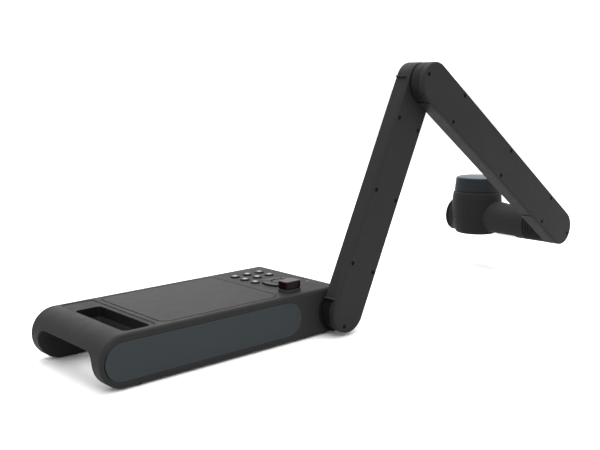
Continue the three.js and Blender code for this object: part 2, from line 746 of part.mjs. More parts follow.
// The smooth shell of the neck: cut to the drum at its end, and flat below for the lamp.
function neckBody() {
  const last = NECK_PROFILE[NECK_PROFILE.length - 1];
  const outside = turnedY([[0, NECK.ribs1], ...NECK_PROFILE, [0, last[1]]], 48);
  liftTowardsHead(outside);
  const roomEnd = HEAD_Y - HEAD.radius - NECK.wall;
  const roomRadius = NECK.radius - NECK.wall;
  const room = rodY(roomRadius, 0, 0, NECK.ribs1 + NECK.wall, roomEnd, 32);
  const floor = LAMP.flat + LAMP.floor;
  const reach = 2 * NECK.radius;
  const below = box(-reach, reach, LAMP.y0 - 4, NECK.end + 1, -reach, LAMP.flat);
  const roomAboveLamp = cut(room, box(-NECK.radius, NECK.radius, NECK.ribs1, 0, -NECK.radius, floor));
  const seatHalf = LAMP.halfWidth + GAP;
  const seat = box(-seatHalf, seatHalf, LAMP.y0 - GAP, LAMP.y1 + GAP, -reach, floor + 1);
  const shaftWay = rodY(SHAFT_RADIUS + GAP, 0, 0, NECK.ribs1 - 1, NECK.end, 32);
  return cut(outside, headSkin(GAP), below, roomAboveLamp, seat, shaftWay);
}

function neckShell(z0, z1) {
  const reach = 2 * NECK.radius;
  return keepInside(neckBody(), box(-reach, reach, NECK.ribs1 - 1, NECK.end + 1, z0, z1));
}

function lampDiffuser() {
  const outline = roundedRectangle(-LAMP.halfWidth, LAMP.halfWidth, LAMP.y0, LAMP.y1, LAMP.corner);
  return extrudeZ(outline, LAMP.flat - LAMP.hang, LAMP.flat + 1, LAMP.edge);
}

function lampBoard() {
  const z0 = LAMP.flat + 1.4;
  return box(-LAMP.halfWidth, LAMP.halfWidth, LAMP.y0, LAMP.y1, z0, z0 + BOARD_THICKNESS);
}

// ---------------------------------------------------------------- camera head
// The whole head's outside and inside, before it is split into two shells.
function headBody() {
  const boss = rodY(BOSS.radius, 0, 0, HEAD_Y, BOSS.far, 48);
  const flat = rodY(PIVOT_COVER.radius + GAP, 0, 0, BOSS.far, BOSS.far + 10, 48);
  const low = HEAD_ROOM[0];
  const high = HEAD_ROOM[HEAD_ROOM.length - 1];
  const room = turnedZ([[0, low[1]], ...HEAD_ROOM, [0, high[1]]], 0, HEAD_Y, 40);
  const lensHole = rodZ(LENS.hole, 0, HEAD_Y, HEAD.bottom - 1, HEAD.bottom + HEAD.wall + 1, 40);
  const pivotHole = rodY(SHAFT_RADIUS + GAP, 0, 0, HEAD_Y - HEAD.radius - 1, HEAD_Y, 32);
  return cut(join(headSkin(0), boss), flat, room, lensHole, pivotHole);
}

function headShell(z0, z1) {
  return keepInside(headBody(), box(-60, 60, -20, 100, z0, z1));
}

function headCap() {
  const low = CAP_PROFILE[0][1];
  const room = rodZ(CAP_ROOM.radius, 0, HEAD_Y, low - 1, CAP_ROOM.top, 32);
  return cut(turnedZ([[0, low], ...CAP_PROFILE], 0, HEAD_Y, 56), room);
}

function pivotCover() {
  const p = PIVOT_COVER;
  const y0 = PIVOT_COVER_Y;
  const profile = [
    [0, y0],
    [p.radius, y0],
    [p.radius, y0 + p.thickness - p.edge],
    [p.radius - p.edge * 0.3, y0 + p.thickness - p.edge * 0.3],
    [p.radius - p.edge, y0 + p.thickness],
    [0, y0 + p.thickness + p.dome],
  ];
  return turnedY(profile, 48);
}

function lensBarrel() {
  const z0 = HEAD.bottom + LENS.inset;
  const z1 = z0 + LENS.length;
  const profile = [
    [LENS.inner, z0 + 1.5],
    [LENS.outer - 1.5, z0],
    [LENS.outer, z0 + 1],
    [LENS.outer, z1],
    [LENS.inner, z1],
    [LENS.inner, z0 + 1.5],
  ];
  return turnedZ(profile, 0, HEAD_Y, 40);
}

function lensGlass() {
  const z0 = HEAD.bottom + LENS.glassInset;
  const profile = [
    [0, z0],
    [8, z0 + 0.7],
    [LENS.glass, z0 + 2.4],
    [LENS.glass, z0 + 4],
    [0, z0 + 4],
  ];
  return turnedZ(profile, 0, HEAD_Y, 40);
}

function sensorBoard() {
  const half = SENSOR_BOARD.half;
  const z0 = HEAD.bottom + SENSOR_BOARD.above;
  return box(-half, half, HEAD_Y - half, HEAD_Y + half, z0, z0 + BOARD_THICKNESS);
}

// ---------------------------------------------------------------- assembly
function addMesh(group, name, look, geometry) {
  const mesh = new THREE.Mesh(geometry, new THREE.MeshStandardMaterial(LOOK[look]));
  mesh.name = name;
  group.add(mesh);
}

function addGroup(parent, x, z, turn) {
  const group = new THREE.Group();
  group.position.set(x, 0, z);
  group.rotation.y = turn;
  parent.add(group);
  return group;
}

function buildBase(group) {
  addMesh(group, "base_shell", "body", baseShell());
  addMesh(group, "bottom_cover", "dark", bottomCover());
  addMesh(group, "ballast_plate", "steel", ballastPlate());
  addMesh(group, "main_board", "board", board(MAIN_BOARD));
  addMesh(group, "key_board", "board", board(KEY_BOARD));
  addMesh(group, "handle_insert", "body", handleInsert());
  addMesh(group, "control_plate", "plate", controlPlate());
  addMesh(group, "near_side_inlay", "inlay", sideInlay(BASE_NEAR_Y, BASE_NEAR_Y + INLAY.depth - GAP));
  addMesh(group, "port_side_inlay", "inlay", portInlay());
  addMesh(group, "power_inlet", "dark", powerInlet());
  for (const socket of FLAT_SOCKETS) {
    addMesh(group, socket.name, "dark", flatSocket(socket));
  }
  const seatTop = BASE_TOP + WINDOW.seat;
  addMesh(group, "window_seat", "seat", windowBlock(BASE_TOP + 0.1, seatTop, 0, 0));
  addMesh(group, "remote_window", "window", windowBlock(seatTop + 0.15, BASE_TOP + WINDOW.height, 0.2, 1));
  addMesh(
    group,
    "status_light",
    "light",
    rodZ(STATUS_LIGHT.radius, STATUS_LIGHT.x, STATUS_LIGHT.y, BASE_TOP - 2.6, BASE_TOP + 0.3, 16),
  );
  FOOT_PLACES.forEach((place, index) => {
    addMesh(group, `foot_${index + 1}`, "rubber", foot(place));
  });
}

function buildKeys(group) {
  keyCentres().forEach((centre, index) => {
    addMesh(group, `key_${index + 1}`, "key", roundKey(centre));
  });
  const names = ["ring_key_right", "ring_key_up", "ring_key_left", "ring_key_down"];
  names.forEach((name, quarter) => {
    addMesh(group, name, "key", ringKey((quarter * Math.PI) / 2));
  });
  addMesh(group, "ring_middle_key", "key", ringMiddleKey());
}

// The base hinge's fixed pieces, on the hinge axis.
function buildBaseHinge(group) {
  const shaftY = spineStart(LOWER_OUTER_Y) - 0.2;
  const washerY = washerStart(LOWER_OUTER_Y);
  addMesh(group, "hinge_collar", "dark", ring(COLLAR_RADIUS, LOWER_INNER_Y + 0.5, BASE_NEAR_Y - GAP, 56));
  const drum = ring(HINGE_DRUM_RADIUS, drumStart(LOWER_OUTER_Y), LOWER_INNER_Y + 0.2, 48);
  addMesh(group, "hinge_drum", "dark", drum);
  addMesh(group, "hinge_washer", "steel", ring(WASHER.radius, washerY, washerY + WASHER.thickness, 32));
  addMesh(group, "hinge_shaft", "steel", rodY(SHAFT_RADIUS, 0, 0, shaftY, BASE_NEAR_Y + 43, 32));
}

function buildLowerArm(group) {
  const bodyY = LOWER_OUTER_Y + COVER + GAP;
  const cover = outerCover(LOWER_LENGTH, LOWER_OUTER_Y, LOWER_SCREWS, [LOWER_LENGTH]);
  const body = armBody(LOWER_SEAM, HINGE_DRUM_RADIUS, bodyY, LOWER_INNER_Y);
  const housing = armEnd(LOWER_SEAM, LOWER_LENGTH, bodyY, LOWER_INNER_Y);
  addMesh(group, "lower_arm_cover", "arm", cover);
  addMesh(group, "lower_arm_body", "arm", join(body, backLip(bodyY, LOWER_INNER_Y, LEDGE)));
  addMesh(group, "lower_arm_spine", "steel", armSpine(LOWER_LENGTH, bodyY + GAP));
  addMesh(group, "elbow_housing", "arm", join(housing, backLip(bodyY, LOWER_INNER_Y, LOWER_SEAM + 2 * GAP)));
}

// The elbow's pieces that stay with the lower arm, on the elbow axis.
function buildElbow(group) {
  const shaftY = spineStart(UPPER_OUTER_Y) - 0.2;
  const washerY = washerStart(UPPER_OUTER_Y);
  addMesh(group, "elbow_drum", "arm", elbowDrum(drumStart(UPPER_OUTER_Y), UPPER_INNER_Y));
  addMesh(group, "elbow_washer", "steel", ring(WASHER.radius, washerY, washerY + WASHER.thickness, 32));
  addMesh(group, "elbow_shaft", "steel", rodY(SHAFT_RADIUS, 0, 0, shaftY, LOWER_INNER_Y - 1, 32));
}

function buildUpperArm(group) {
  const bodyY = UPPER_OUTER_Y + COVER + GAP;
  const slot = seamSlot(bodyY, UPPER_INNER_Y);
  const end = armEnd(UPPER_SEAM, UPPER_LENGTH, bodyY, UPPER_INNER_Y);
  const body = armBody(UPPER_SEAM, ELBOW_DRUM_RADIUS, bodyY, UPPER_INNER_Y);
  addMesh(group, "upper_arm_cover", "arm", outerCover(UPPER_LENGTH, UPPER_OUTER_Y, UPPER_SCREWS, []));
  addMesh(group, "upper_arm_body", "arm", cut(body, slot));
  addMesh(group, "upper_arm_spine", "steel", armSpine(UPPER_LENGTH, bodyY + GAP));
  addMesh(group, "upper_arm_end", "arm", cut(end, slot));
}

function buildNeck(group) {
  const shaftY = spineStart(UPPER_OUTER_Y) - 0.2;
  const reach = 2 * NECK.radius;
  addMesh(group, "neck_ribs", "dark", neckRibs());
  addMesh(group, "neck_lower_shell", "body", neckShell(-reach, NECK.split - GAP / 2));
  addMesh(group, "neck_upper_shell", "body", neckShell(NECK.split + GAP / 2, reach));
  addMesh(group, "neck_shaft", "steel", rodY(SHAFT_RADIUS, 0, 0, shaftY, 12, 32));
  addMesh(group, "lamp_diffuser", "lamp", lampDiffuser());
  addMesh(group, "lamp_board", "board", lampBoard());
}

function buildHead(group) {
  addMesh(group, "head_lower_shell", "body", headShell(HEAD.bottom - 5, HEAD.split - GAP / 2));
  addMesh(group, "head_upper_shell", "body", headShell(HEAD.split + GAP / 2, HEAD.top + 5));
  addMesh(group, "head_cap", "inlay", headCap());
  addMesh(group, "pivot_cover", "dark", pivotCover());
  addMesh(group, "lens_barrel", "dark", lensBarrel());
  addMesh(group, "lens_glass", "glass", lensGlass());
  addMesh(group, "sensor_board", "board", sensorBoard());
}

const documentCamera = new THREE.Group();
const base = addGroup(documentCamera, 0, 0, 0);
buildBase(base);
buildKeys(base);
const hinge = addGroup(documentCamera, HINGE_X, HINGE_Z, 0);
buildBaseHinge(hinge);
const lowerArm = addGroup(documentCamera, HINGE_X, HINGE_Z, LEAN);
buildLowerArm(lowerArm);
const elbow = addGroup(lowerArm, 0, LOWER_LENGTH, 0);
buildElbow(elbow);
const upperArm = addGroup(lowerArm, 0, LOWER_LENGTH, ELBOW);
buildUpperArm(upperArm);
const neck = addGroup(upperArm, 0, UPPER_LENGTH, -LEAN - ELBOW);
buildNeck(neck);
buildHead(neck);

// Bring the footprint's middle to the origin.
const elbowX = HINGE_X + LOWER_LENGTH * Math.sin(LEAN);
const neckX = elbowX + UPPER_LENGTH * Math.sin(LEAN + ELBOW);
const farY = PIVOT_COVER_Y + PIVOT_COVER.thickness + PIVOT_COVER.dome;
documentCamera.position.set(-(neckX + HEAD.radius) / 2, -(UPPER_OUTER_Y + farY) / 2, 0);

export default documentCamera;
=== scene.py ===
"""The looks of a desktop document camera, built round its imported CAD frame. Metres, +Z up."""
import json
import math

import bmesh
import bpy
from mathutils import Matrix, Vector


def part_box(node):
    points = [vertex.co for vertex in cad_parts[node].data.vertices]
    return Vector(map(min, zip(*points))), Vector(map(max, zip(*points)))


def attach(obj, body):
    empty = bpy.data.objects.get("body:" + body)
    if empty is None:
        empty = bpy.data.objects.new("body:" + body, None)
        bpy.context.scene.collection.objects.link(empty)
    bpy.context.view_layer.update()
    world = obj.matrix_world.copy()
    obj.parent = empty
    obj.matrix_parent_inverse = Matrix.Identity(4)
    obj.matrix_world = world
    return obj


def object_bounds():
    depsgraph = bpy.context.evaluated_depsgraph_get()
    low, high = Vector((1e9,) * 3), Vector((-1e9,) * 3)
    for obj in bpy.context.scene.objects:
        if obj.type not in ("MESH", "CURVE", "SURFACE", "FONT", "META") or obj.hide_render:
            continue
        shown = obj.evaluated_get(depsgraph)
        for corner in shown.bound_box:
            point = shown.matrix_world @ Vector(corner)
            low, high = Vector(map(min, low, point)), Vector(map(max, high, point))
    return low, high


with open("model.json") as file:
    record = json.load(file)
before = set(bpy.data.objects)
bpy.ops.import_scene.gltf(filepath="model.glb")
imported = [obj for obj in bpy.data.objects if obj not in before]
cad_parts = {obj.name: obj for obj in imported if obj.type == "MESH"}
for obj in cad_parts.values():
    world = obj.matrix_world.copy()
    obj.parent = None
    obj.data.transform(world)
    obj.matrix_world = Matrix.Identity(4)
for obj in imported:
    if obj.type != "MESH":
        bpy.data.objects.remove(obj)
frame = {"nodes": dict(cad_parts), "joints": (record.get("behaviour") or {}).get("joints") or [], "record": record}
CAD_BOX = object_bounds()
NODES = frame["nodes"]
MM = 0.001

# ---------------------------------------------------------------- places worked out from the frame
BASE_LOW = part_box("base_shell")[0]
PIVOT = {joint["name"]: Vector(joint["pos_m"]) for joint in frame["joints"] if "pos_m" in joint}

# ---------------------------------------------------------------- driving dimensions
SCREW_RADIUS = 2.5 * MM
SCREW_DEPTH = 1.6 * MM
SCREW_EDGE = 0.25 * MM  # height of the chamfer round a screw's head
SCREW_SIDES = 24
RECESS_DEPTH = 0.9 * MM  # of the round socket in a screw's head
SCREW_SUNK = 1.3 * MM  # the screw heads lie this far below the arm covers
SCREW_FIRST = -18 * MM  # along the arm from its hinge axis
SCREW_ACROSS = 19.3 * MM
LOWER_SCREW_ROWS = [55 * MM, 147.4 * MM, 240 * MM]
UPPER_SCREW_ROWS = [56.4 * MM, 188.6 * MM, 320.9 * MM]
UPPER_SCREW_LAST = 18 * MM  # past the neck axis

NECK_END_RADIUS = 26 * MM
NECK_END_LIFT = 3 * MM
NECK_RIM_RADIUS = 0.6 * MM
NECK_RIM_DIP = 60  # how far below level the bead goes on, in degrees
NECK_RIM_STEPS = 60
DRUM_RADII = [  # (height above the neck's axis, radius) up the camera head
    (-25.6 * MM, 32 * MM),
    (-21.8 * MM, 34 * MM),
    (-15.8 * MM, 36.4 * MM),
    (-8 * MM, 38.2 * MM),
    (1 * MM, 39.2 * MM),
    (10 * MM, 39.6 * MM),
    (28 * MM, 39.4 * MM),
    (33 * MM, 38.9 * MM),
]
TONGUE_HALF = Vector((5, 4, 0.8)) * MM
TONGUE_DEPTH = 10 * MM  # of a socket's tongue, from the socket's mouth
TONGUE_EDGE = 0.3 * MM
SOCKETS = ("video_socket_1", "video_socket_2", "data_socket")
COVER_SCREW_INSET = 7 * MM
COVER_SCREW_PROUD = 0.3 * MM

CAMERA_FROM_BASE = Vector((-0.37488, -0.68209, 0.29173))  # from the base's lowest corner
CAMERA_PITCH = math.radians(9.54)
CAMERA_YAW = math.radians(42.84)
CAMERA_LENS = 50.0
CAMERA_SENSOR = 36.0

FLOOR_HALF = 40.0
WORLD_STRENGTH = 1.5
AREA_LIGHTS = [  # (name, place, size, power)
    ("overhead", (0.2, 0.3, 2.4), (2.2, 2.2), 70),
    ("back", (0.6, 2.4, 1.3), (2.4, 1.4), 20),
    ("front", (-1.2, -1.6, 2.2), (1.2, 1.2), 30),
]


# ---------------------------------------------------------------- node trees
class Tree:
    """A material's node tree, with short ways to add the nodes used here."""

    def __init__(self, name):
        self.material = bpy.data.materials.new(name)
        self.material.use_nodes = True
        self.nodes = self.material.node_tree.nodes
        self.links = self.material.node_tree.links
        self.shader = self.nodes["Principled BSDF"]
        self.place = self.add("ShaderNodeTexCoord").outputs["Object"]

    def add(self, kind, inputs=None, **settings):
        node = self.nodes.new(kind)
        for name, value in settings.items():
            setattr(node, name, value)
        for name, value in (inputs or {}).items():
            self.feed(node.inputs[name], value)
        return node

    def feed(self, socket, value):
        if isinstance(value, bpy.types.NodeSocket):
            self.links.new(value, socket)
        else:
            socket.default_value = value

    def noise(self, size, detail=2.0, roughness=0.5, stretch=(1, 1, 1)):
        """Noise with features about size across, in metres."""
        spread = self.add("ShaderNodeMapping", {"Vector": self.place, "Scale": stretch})
        inputs = {"Vector": spread.outputs[0], "Scale": 1 / size, "Detail": detail, "Roughness": roughness}
        return self.add("ShaderNodeTexNoise", inputs).outputs[0]

    def cells(self, size, feature="F1"):
        inputs = {"Vector": self.place, "Scale": 1 / size}
        return self.add("ShaderNodeTexVoronoi", inputs, feature=feature).outputs["Distance"]

    def spread(self, value, low, high, to_low=0.0, to_high=1.0):
        inputs = {"Value": value, "From Min": low, "From Max": high, "To Min": to_low, "To Max": to_high}
        return self.add("ShaderNodeMapRange", inputs).outputs[0]

    def maths(self, operation, a, b):
        node = self.add("ShaderNodeMath", operation=operation)
        self.feed(node.inputs[0], a)
        self.feed(node.inputs[1], b)
        return node.outputs[0]

    def blend(self, factor, a, b):
        """Colour a where factor is 0, colour b where it is 1."""
        node = self.add("ShaderNodeMix", data_type="RGBA")
        for socket, value in ((node.inputs[0], factor), (node.inputs[6], a), (node.inputs[7], b)):
            self.feed(socket, value)
        return node.outputs[2]

    def edges(self, radius):
        """1 along the edges of the piece, falling to 0 away from them."""
        rounded = self.add("ShaderNodeBevel", {"Radius": radius}, samples=6).outputs[0]
        true = self.add("ShaderNodeNewGeometry").outputs["Normal"]
        node = self.add("ShaderNodeVectorMath", operation="DOT_PRODUCT")
        self.feed(node.inputs[0], rounded)
        self.feed(node.inputs[1], true)
        return self.spread(node.outputs["Value"], 1.0, 0.86)

    def facing_up(self, low=0.4, high=1.0):
        normal = self.add("ShaderNodeNewGeometry").outputs["Normal"]
        parts = self.add("ShaderNodeSeparateXYZ", {"Vector": normal})
        return self.spread(parts.outputs["Z"], low, high)

    def relief(self, height, distance):
        inputs = {"Height": height, "Distance": distance, "Strength": 1.0}
        self.links.new(self.add("ShaderNodeBump", inputs).outputs[0], self.shader.inputs["Normal"])

    def set(self, **values):
        for name, value in values.items():
            self.feed(self.shader.inputs[name.replace("_", " ")], value)


def grey(level, tint=(1, 1, 1)):
    return (level * tint[0], level * tint[1], level * tint[2], 1)


def moulded_plastic(name, level, roughness, grain=0.55 * MM, depth=0.022 * MM, specular=0.06, painted_wall_shade=1.0):
    """Dark moulded plastic: a fine spark-eroded grain, slow tone changes, worn edges and a little dust.

    A face that doesn't face up has its tone multiplied by the wall factor, which paints shade on those faces.
    """
    t = Tree(name)
    cloud = t.noise(45 * MM, 3.0)
    grains = t.noise(grain, 3.0, 0.6)
    smudge = t.spread(t.noise(18 * MM, 4.0, 0.65), 0.45, 0.75)
    tone = t.blend(cloud, grey(level * 0.88), grey(level * 1.12))
    tone = t.blend(t.spread(grains, 0.35, 0.75), tone, grey(level * 1.18))
    dust = t.maths("MULTIPLY", t.facing_up(), t.spread(t.noise(2.2 * MM, 5.0, 0.7), 0.56, 0.8, 0.0, 0.12))
    tone = t.blend(dust, tone, grey(level * 2.2 + 0.012))
    wear = t.maths("MULTIPLY", t.edges(0.9 * MM), t.spread(t.noise(5 * MM, 4.0), 0.4, 0.7, 0.3, 0.7))
    tone = t.blend(wear, tone, grey(level * 2.2 + 0.01))
    smudged = t.spread(smudge, 0, 1, roughness + 0.03, roughness - 0.07)
    rough = t.maths("ADD", smudged, t.spread(wear, 0, 1, 0, -0.1))
    # painted shade: a face that doesn't face up is darkened towards black by the wall factor
    tone = t.blend(t.facing_up(0.5, 0.9), t.blend(1 - painted_wall_shade, tone, grey(0)), tone)
    t.set(Base_Color=tone, Roughness=rough, Specular_IOR_Level=specular)
    t.relief(grains, depth)
    return t.material


def smooth_plastic(name, level, roughness, tint=(1, 1, 1), specular=0.06, top=1.0):
    """Satin plastic with finger marks and a few hairline scratches.

    A face that faces up has its tone multiplied by top, a painted highlight on the faces turned to the light
    above.
    """
    t = Tree(name)
    cloud = t.noise(60 * MM, 2.0)
    marks = t.spread(t.noise(14 * MM, 5.0, 0.7), 0.42, 0.7)
    hair = t.spread(t.noise(0.8 * MM, 2.0, 0.5, (1, 0.03, 1)), 0.66, 0.74)
    grains = t.noise(0.35 * MM, 2.0, 0.6)
    tone = t.blend(cloud, grey(level * 0.95, tint), grey(level * 1.05, tint))
    tone = t.blend(t.maths("MULTIPLY", hair, 0.05), tone, grey(level * 1.6, tint))
    # painted highlight: faces turned up are made lighter by the factor top
    tone = t.blend(t.facing_up(0.8, 0.97), tone, grey(level * top, tint))
    wear = t.maths("MULTIPLY", t.edges(0.6 * MM), 0.45)
    tone = t.blend(wear, tone, grey(level * 1.5 + 0.008, tint))
    marked = t.spread(marks, 0, 1, roughness - 0.015, roughness + 0.02)
    rough = t.maths("ADD", marked, t.spread(hair, 0, 1, 0, 0.02))
    t.set(Base_Color=tone, Roughness=rough, Specular_IOR_Level=specular)
    t.relief(grains, 0.008 * MM)
    return t.material


def key_plastic(name, level, low=0.972):
    """Key caps: a painted highlight where they face straight up, and painted shade on their sides, where their
    upward part is under low.
    """
    t = Tree(name)
    marks = t.spread(t.noise(3 * MM, 4.0, 0.6), 0.4, 0.7)
    lit_cap = t.blend(marks, grey(level), grey(level * 1.3))
    # painted highlight on the tops, and painted shade, almost black, on the sides
    tone = t.blend(t.facing_up(low, 0.999), grey(0.006), lit_cap)
    t.set(Base_Color=tone, Roughness=t.spread(marks, 0, 1, 0.45, 0.55), Specular_IOR_Level=0.05)
    t.relief(t.noise(0.3 * MM, 2.0), 0.006 * MM)
    return t.material


def window_plastic(name):
    """The remote-control window: dark red, almost black, with a painted red highlight along its edges and a
    painted sheen on its top.
    """
    t = Tree(name)
    marks = t.spread(t.noise(4 * MM, 4.0, 0.65), 0.4, 0.75)
    tone = t.blend(marks, (0.005, 0.0014, 0.0018, 1), (0.009, 0.002, 0.0025, 1))
    # painted highlight: redder along the edges
    tone = t.blend(t.maths("MULTIPLY", t.edges(0.8 * MM), 0.45), tone, (0.05, 0.009, 0.012, 1))
    # painted sheen: the faces turned up are less red and lighter
    tone = t.blend(t.facing_up(0.6, 0.95), tone, (0.008, 0.004, 0.0045, 1))
    t.set(Base_Color=tone, Roughness=t.spread(marks, 0, 1, 0.15, 0.25), Specular_IOR_Level=0.06)
    t.relief(t.noise(6 * MM, 1.0), 0.02 * MM)
    return t.material


def lamp_plastic(name):
    """Milky diffuser with fine prisms across it."""
    t = Tree(name)
    marks = t.noise(6 * MM, 3.0)
    wave = t.add("ShaderNodeTexWave", {"Vector": t.place, "Scale": 140.0}, bands_direction="Y")
    tone = t.blend(marks, (0.72, 0.72, 0.69, 1), (0.82, 0.82, 0.8, 1))
    t.set(Base_Color=tone, Roughness=t.spread(marks, 0, 1, 0.3, 0.42))
    t.set(Subsurface_Weight=0.3)
    t.relief(wave.outputs["Fac"], 0.06 * MM)
    return t.material


def light_plastic(name):
    """The status light: a dull green, unlit."""
    t = Tree(name)
    marks = t.noise(1.2 * MM, 2.0)
    tone = t.blend(marks, (0.05, 0.11, 0.065, 1), (0.07, 0.14, 0.085, 1))
    t.set(Base_Color=tone, Roughness=t.spread(marks, 0, 1, 0.3, 0.4), Specular_IOR_Level=0.2)
    return t.material


def rubber(name):
    """Foot rubber: dull, with a pitted face and dust."""
    t = Tree(name)
    pits = t.cells(0.7 * MM)
    dust = t.spread(t.noise(3 * MM, 5.0, 0.7), 0.5, 0.8, 0.0, 0.35)
    tone = t.blend(dust, grey(0.012), grey(0.06))
    t.set(Base_Color=tone, Roughness=t.spread(dust, 0, 0.35, 0.75, 0.95), Specular_IOR_Level=0.3)
    t.relief(pits, 0.05 * MM)
    return t.material


def circuit_board(name):
    """Green lacquer over copper tracks."""
    t = Tree(name)
    tracks = t.spread(t.cells(4 * MM, "DISTANCE_TO_EDGE"), 0.02, 0.05)
    pads = t.spread(t.cells(9 * MM), 0.12, 0.16)
    tone = t.blend(tracks, (0.03, 0.16, 0.06, 1), (0.012, 0.075, 0.03, 1))
    tone = t.blend(pads, (0.5, 0.36, 0.16, 1), tone)
    t.set(Base_Color=tone, Roughness=t.spread(pads, 0, 1, 0.25, 0.4), Metallic=t.spread(pads, 0, 1, 0.9, 0))
    t.relief(tracks, 0.03 * MM)
    return t.material


def brushed_steel(name):
    """Steel with fine lines along X and slow stains."""
    t = Tree(name)
    lines = t.noise(0.35 * MM, 3.0, 0.6, (0.02, 1, 1))
    stain = t.noise(20 * MM, 4.0, 0.6)
    tone = t.blend(stain, grey(0.34, (1, 0.99, 0.97)), grey(0.48, (1, 0.99, 0.97)))
    t.set(Base_Color=tone, Metallic=1.0, Roughness=t.spread(lines, 0.3, 0.7, 0.26, 0.46))
    t.relief(lines, 0.012 * MM)
    return t.material


def lens_glass(name):
    """The lens's coated front face: dark, glossy, with a faint painted violet reflection of its coating towards
    its edge.
    """
    t = Tree(name)
    marks = t.noise(8 * MM, 4.0, 0.6)
    coating_reflection = t.add("ShaderNodeLayerWeight", {"Blend": 0.35}).outputs["Facing"]
    # painted reflection: violet where the face is seen at a slant
    tone = t.blend(coating_reflection, (0.004, 0.005, 0.012, 1), (0.03, 0.012, 0.05, 1))
    t.set(Base_Color=tone, Roughness=t.spread(marks, 0.3, 0.8, 0.02, 0.09))
    t.set(Coat_Weight=1.0, Coat_Roughness=0.02)
    return t.material


BLUE_GREY = (0.84, 1.0, 1.09)
MATERIALS = {
    "body_plastic": moulded_plastic("body_plastic", 0.013, 0.55),
    "plate_plastic": smooth_plastic("plate_plastic", 0.013, 0.55),
    "arm_plastic": moulded_plastic("arm_plastic", 0.012, 0.5, grain=0.45 * MM, depth=0.016 * MM),
    "dark_plastic": moulded_plastic("dark_plastic", 0.004, 0.6, specular=0.05),
    # The inlays' faces turned up get a painted highlight, 3.2 times lighter.
    "inlay_plastic": smooth_plastic("inlay_plastic", 0.024, 0.5, BLUE_GREY, top=3.2),
    "key_plastic": key_plastic("key_plastic", 0.24),
    "window_plastic": window_plastic("window_plastic"),
    "seat_plastic": smooth_plastic("seat_plastic", 0.025, 0.5),
    "light_plastic": light_plastic("light_plastic"),
    "lamp_plastic": lamp_plastic("lamp_plastic"),
    "foot_rubber": rubber("foot_rubber"),
    "circuit_board": circuit_board("circuit_board"),
    "lens_glass": lens_glass("lens_glass"),
    "steel": brushed_steel("steel"),
}
# The handle insert's plastic, with painted shade on its faces that don't face up, inside the slot.
SHADED_SLOT_LINER = moulded_plastic("slot_liner_painted_shade", 0.013, 0.6, painted_wall_shade=0.25)
HEAD_PLASTIC = moulded_plastic("head_plastic", 0.009, 0.55)
# The cap's top gets a painted highlight, 6.5 times lighter than its sides.
LIT_CAP_PLASTIC = smooth_plastic("cap_plastic_painted_highlight", 0.013, 0.5, BLUE_GREY, top=6.5)
RIB_PLASTIC = moulded_plastic("rib_plastic", 0.008, 0.55)
# The elbow drum: a darker plastic, painted shade for the drum set between the arms.
SHADED_DRUM_PLASTIC = moulded_plastic("drum_plastic_painted_shade", 0.007, 0.55)
# The ring keys: darker caps, with the same painted highlight on top and painted shade on their sides.
RING_PLASTIC = key_plastic("ring_plastic", 0.02, low=0.8)
RING_KEYS = ("ring_key_up", "ring_key_down", "ring_key_left", "ring_key_right", "ring_middle_key")
OWN_MATERIALS = {  # nodes whose tone differs from the rest of their slot; the handle insert and the elbow drum carry painted shade, the cap a painted highlight, the ring keys both
    "handle_insert": SHADED_SLOT_LINER,
    "head_lower_shell": HEAD_PLASTIC,
    "head_upper_shell": HEAD_PLASTIC,
    "head_cap": LIT_CAP_PLASTIC,
    "neck_ribs": RIB_PLASTIC,
    "elbow_drum": SHADED_DRUM_PLASTIC,
    **{name: RING_PLASTIC for name in RING_KEYS},
}
THIN_PLATES = ("near_side_inlay", "port_side_inlay")  # shaded flat, with no rounded edges


# ---------------------------------------------------------------- CAD nodes that stay
EDGE_WIDTHS = {  # width of the small round on each node's edges
    "base_shell": 0.9 * MM,
    "control_plate": 0.25 * MM,
    "handle_insert": 0.5 * MM,
    "lower_arm_cover": 0.35 * MM,
    "upper_arm_cover": 0.35 * MM,
    "lower_arm_body": 0.8 * MM,
    "upper_arm_body": 0.8 * MM,
    "elbow_housing": 0.8 * MM,
    "elbow_drum": 0.7 * MM,
    "hinge_drum": 0.7 * MM,
    "upper_arm_end": 0.8 * MM,
}
EDGE_WIDTH = 0.3 * MM  # on every other node
EDGE_STEPS = 3
SHARP = math.radians(20)
SHARP_ON_COVERS = math.radians(13)
FLAT = math.radians(0.3)  # faces closer than this in angle are joined
WELD_DISTANCE = 0.002 * MM


def soften(node):
    """Joins the flat faces, and rounds the edges of every node but the thin plates."""
    weld = node.modifiers.new("weld", "WELD")
    weld.merge_threshold = WELD_DISTANCE
    flat = node.modifiers.new("flat", "DECIMATE")
    flat.decimate_type = "DISSOLVE"
    flat.angle_limit = FLAT
    if node.name in THIN_PLATES:
        return
    bevel = node.modifiers.new("edges", "BEVEL")
    bevel.width = EDGE_WIDTHS.get(node.name, EDGE_WIDTH)
    bevel.segments = EDGE_STEPS
    bevel.limit_method = "ANGLE"
    bevel.angle_limit = SHARP_ON_COVERS if "cover" in node.name else SHARP
    bevel.harden_normals = True
    bevel.use_clamp_overlap = node.name not in EDGE_WIDTHS
    weighted = node.modifiers.new("shading", "WEIGHTED_NORMAL")
    weighted.keep_sharp = True


def shade(mesh, smooth):
    for polygon in mesh.polygons:
        polygon.use_smooth = smooth


def dress_nodes():
    for part in frame["record"]["subparts"]:
        node = NODES[part["node"]]
        node.data.materials.clear()
        node.data.materials.append(OWN_MATERIALS.get(node.name, MATERIALS[part["material_slot"]]))
        shade(node.data, node.name not in THIN_PLATES)
        soften(node)


